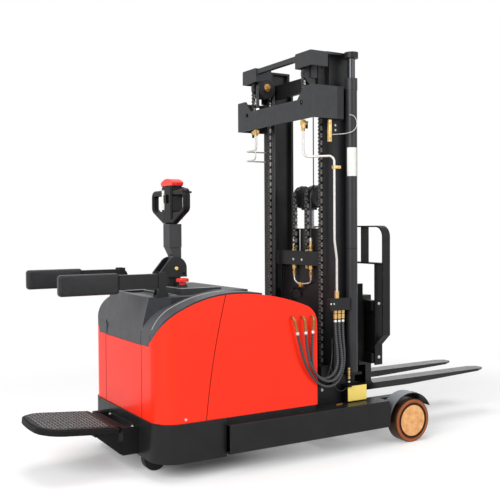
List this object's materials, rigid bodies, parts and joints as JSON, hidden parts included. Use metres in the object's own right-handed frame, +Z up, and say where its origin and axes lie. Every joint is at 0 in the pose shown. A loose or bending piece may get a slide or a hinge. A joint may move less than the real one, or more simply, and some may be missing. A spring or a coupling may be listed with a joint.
{
  "type": "electric reach stacker",
  "caption": "Stand-on electric stacker with straddle legs, a sliding nested lift mast with forks, tiller steering, fold-up rear platform and side arms.",
  "frame": {"origin": "middle of the truck's length and width, on the floor", "axes": "+X towards the fork tips, +Y to the truck's left, +Z up"},
  "size_m": [2.7698, 0.948, 2.04],
  "materials": {
    "frame_black": "satin black",
    "cover_red": "gloss red",
    "dash_grey": "charcoal, fine grain",
    "black_plastic": "black, fine grain",
    "red_plastic": "gloss red",
    "battery": "dark case",
    "power_pack": "painted",
    "cast": "painted",
    "mat_rubber": "diamond tread",
    "wheel_pu": "orange-brown polyurethane",
    "rod_steel": "hard chrome",
    "chain_steel": "oiled",
    "pipe_steel": "zinc plated",
    "brass": "turned",
    "yellow": "yellow",
    "hose": "braided black"
  },
  "bodies": {
    "chassis": {"chassis_frame": "frame_black", "rear_skirt": "frame_black", "rear_panel": "cover_red", "rear_side_covers": "cover_red", "front_side_covers": "cover_red", "battery_lid": "cover_red", "dash_cover": "dash_grey", "console": "black_plastic", "arm_posts": "frame_black", "platform_bracket": "frame_black", "battery": "battery", "power_pack": "power_pack", "reach_cylinder": "frame_black", "hose_elbows": "brass", "hose_1": "hose", "hose_2": "hose", "hose_3": "hose"},
    "drive_unit": {"steering_turret": "frame_black", "drive_motor": "cast"},
    "drive_wheel": {"drive_wheel": "wheel_pu"},
    "caster_left": {"caster_fork_left": "frame_black"},
    "caster_right": {"caster_fork_right": "frame_black"},
    "caster_roll_left": {"caster_wheel_left": "wheel_pu"},
    "caster_roll_right": {"caster_wheel_right": "wheel_pu"},
    "tiller": {"tiller_arm": "frame_black", "tiller_head": "black_plastic"},
    "throttle": {"throttle": "black_plastic"},
    "belly_button": {"belly_button": "red_plastic"},
    "lift_rocker": {"lift_rocker": "black_plastic"},
    "emergency_stop": {"emergency_stop": "red_plastic"},
    "platform": {"platform": "frame_black", "platform_mat": "mat_rubber"},
    "arm_left": {"side_arm_left": "frame_black", "arm_pad_left": "black_plastic"},
    "arm_right": {"side_arm_right": "frame_black", "arm_pad_right": "black_plastic"},
    "load_wheel_left": {"load_wheel_left": "wheel_pu"},
    "load_wheel_right": {"load_wheel_right": "wheel_pu"},
    "mast": {"outer_mast": "frame_black", "reach_carriage": "frame_black", "lift_cylinders": "frame_black", "mast_pipes": "pipe_steel", "mast_fittings": "brass", "reach_rod": "rod_steel", "yellow_block": "yellow", "main_chain_rear": "chain_steel"},
    "middle": {"middle_mast": "frame_black", "lift_rods": "rod_steel", "main_chain_front": "chain_steel"},
    "mast_sheaves": {"mast_sheaves": "cast"},
    "inner": {"inner_mast": "frame_black", "free_lift_cylinder": "frame_black", "free_chain_rear": "chain_steel"},
    "free_rod": {"free_lift_rod": "rod_steel", "free_chain_front": "chain_steel"},
    "free_sheaves": {"free_lift_sheaves": "cast"},
    "carriage": {"lift_carriage": "frame_black", "backrest": "frame_black"},
    "fork_left": {"fork_left": "cast"},
    "fork_right": {"fork_right": "cast"}
  },
  "joints": [
    {"name": "tiller_steer", "type": "hinge", "parent": "chassis", "child": "drive_unit", "pos_m": [-0.64, 0, 0.6], "axis": [0, 0, 1], "range_deg": [-90, 90]},
    {"name": "drive_wheel_turn", "type": "hinge", "parent": "drive_unit", "child": "drive_wheel", "pos_m": [-0.64, 0, 0.125], "axis": [0, 1, 0], "continuous": true},
    {"name": "caster_left_swivel", "type": "hinge", "parent": "chassis", "child": "caster_left", "pos_m": [-0.8, 0.185, 0.172], "axis": [0, 0, 1], "continuous": true},
    {"name": "caster_left_turn", "type": "hinge", "parent": "caster_left", "child": "caster_roll_left", "pos_m": [-0.834, 0.185, 0.0575], "axis": [0, 1, 0], "continuous": true},
    {"name": "load_wheel_left_turn", "type": "hinge", "parent": "chassis", "child": "load_wheel_left", "pos_m": [0.533, 0.436, 0.115], "axis": [0, 1, 0], "continuous": true},
    {"name": "arm_left_fold", "type": "hinge", "parent": "chassis", "child": "arm_left", "pos_m": [-0.82, 0.252, 0.9], "axis": [0, 1, 0], "range_deg": [0, 65]},
    {"name": "fork_left_spread", "type": "slide", "parent": "carriage", "child": "fork_left", "axis": [0, 1, 0], "range_m": [-0.06, 0.095]},
    {"name": "caster_right_swivel", "type": "hinge", "parent": "chassis", "child": "caster_right", "pos_m": [-0.8, -0.185, 0.172], "axis": [0, 0, 1], "continuous": true},
    {"name": "caster_right_turn", "type": "hinge", "parent": "caster_right", "child": "caster_roll_right", "pos_m": [-0.834, -0.185, 0.0575], "axis": [0, 1, 0], "continuous": true},
    {"name": "load_wheel_right_turn", "type": "hinge", "parent": "chassis", "child": "load_wheel_right", "pos_m": [0.533, -0.436, 0.115], "axis": [0, 1, 0], "continuous": true},
    {"name": "arm_right_fold", "type": "hinge", "parent": "chassis", "child": "arm_right", "pos_m": [-0.82, -0.252, 0.9], "axis": [0, 1, 0], "range_deg": [0, 65]},
    {"name": "fork_right_spread", "type": "slide", "parent": "carriage", "child": "fork_right", "axis": [0, -1, 0], "range_m": [-0.06, 0.095]},
    {"name": "tiller_tilt", "type": "hinge", "parent": "drive_unit", "child": "tiller", "pos_m": [-0.64, 0, 0.943], "axis": [0, -1, 0], "range_deg": [0, 70], "stiffness_Nm_per_rad": 20, "springref_deg": -45.84},
    {"name": "throttle_turn", "type": "hinge", "parent": "tiller", "child": "throttle", "pos_m": [-0.607, 0, 1.322], "axis": [0, 1, 0], "range_deg": [-25, 25], "stiffness_Nm_per_rad": 0.6},
    {"name": "belly_button_press", "type": "slide", "parent": "tiller", "child": "belly_button", "axis": [0, 0, -1], "range_m": [0, 0.007], "stiffness_N_per_m": 800, "springref_m": -0.01},
    {"name": "lift_rocker_tip", "type": "hinge", "parent": "tiller", "child": "lift_rocker", "pos_m": [-0.674, 0, 1.29], "axis": [0, 1, 0], "range_deg": [-6, 6], "stiffness_Nm_per_rad": 0.3},
    {"name": "emergency_stop_press", "type": "slide", "parent": "chassis", "child": "emergency_stop", "axis": [0, 0, -1], "range_m": [0, 0.005]},
    {"name": "platform_fold", "type": "hinge", "parent": "chassis", "child": "platform", "pos_m": [-0.975, 0, 0.2], "axis": [0, 1, 0], "range_deg": [0, 85]},
    {"name": "mast_reach", "type": "slide", "parent": "chassis", "child": "mast", "axis": [1, 0, 0], "range_m": [0, 0.34]},
    {"name": "middle_mast_lift", "type": "slide", "parent": "mast", "child": "middle", "axis": [0, 0, 1], "range_m": [0, 1.2], "deforming": ["main_chain_rear"]},
    {"name": "inner_mast_lift", "type": "slide", "parent": "middle", "child": "inner", "axis": [0, 0, 1], "range_m": [0, 1.2], "deforming": ["main_chain_front"]},
    {"name": "mast_sheaves_turn", "type": "hinge", "parent": "middle", "child": "mast_sheaves", "pos_m": [0.045, 0, 1.935], "axis": [0, 1, 0], "continuous": true},
    {"name": "carriage_lift", "type": "slide", "parent": "inner", "child": "carriage", "axis": [0, 0, 1], "range_m": [-0.205, 1], "deforming": ["free_chain_front"]},
    {"name": "free_rod_lift", "type": "slide", "parent": "inner", "child": "free_rod", "axis": [0, 0, 1], "range_m": [-0.105, 0.505], "deforming": ["free_chain_rear"]},
    {"name": "free_sheaves_turn", "type": "hinge", "parent": "free_rod", "child": "free_sheaves", "pos_m": [0.2, 0, 1.31], "axis": [0, 1, 0], "continuous": true}
  ],
  "couplings": [
    {"joint": "inner_mast_lift", "follows": "middle_mast_lift", "ratio": 1},
    {"joint": "mast_sheaves_turn", "follows": "middle_mast_lift", "rad_per_m": -19.231},
    {"joint": "free_rod_lift", "follows": "carriage_lift", "ratio": 0.5},
    {"joint": "free_sheaves_turn", "follows": "carriage_lift", "rad_per_m": -8.9286}
  ]
}
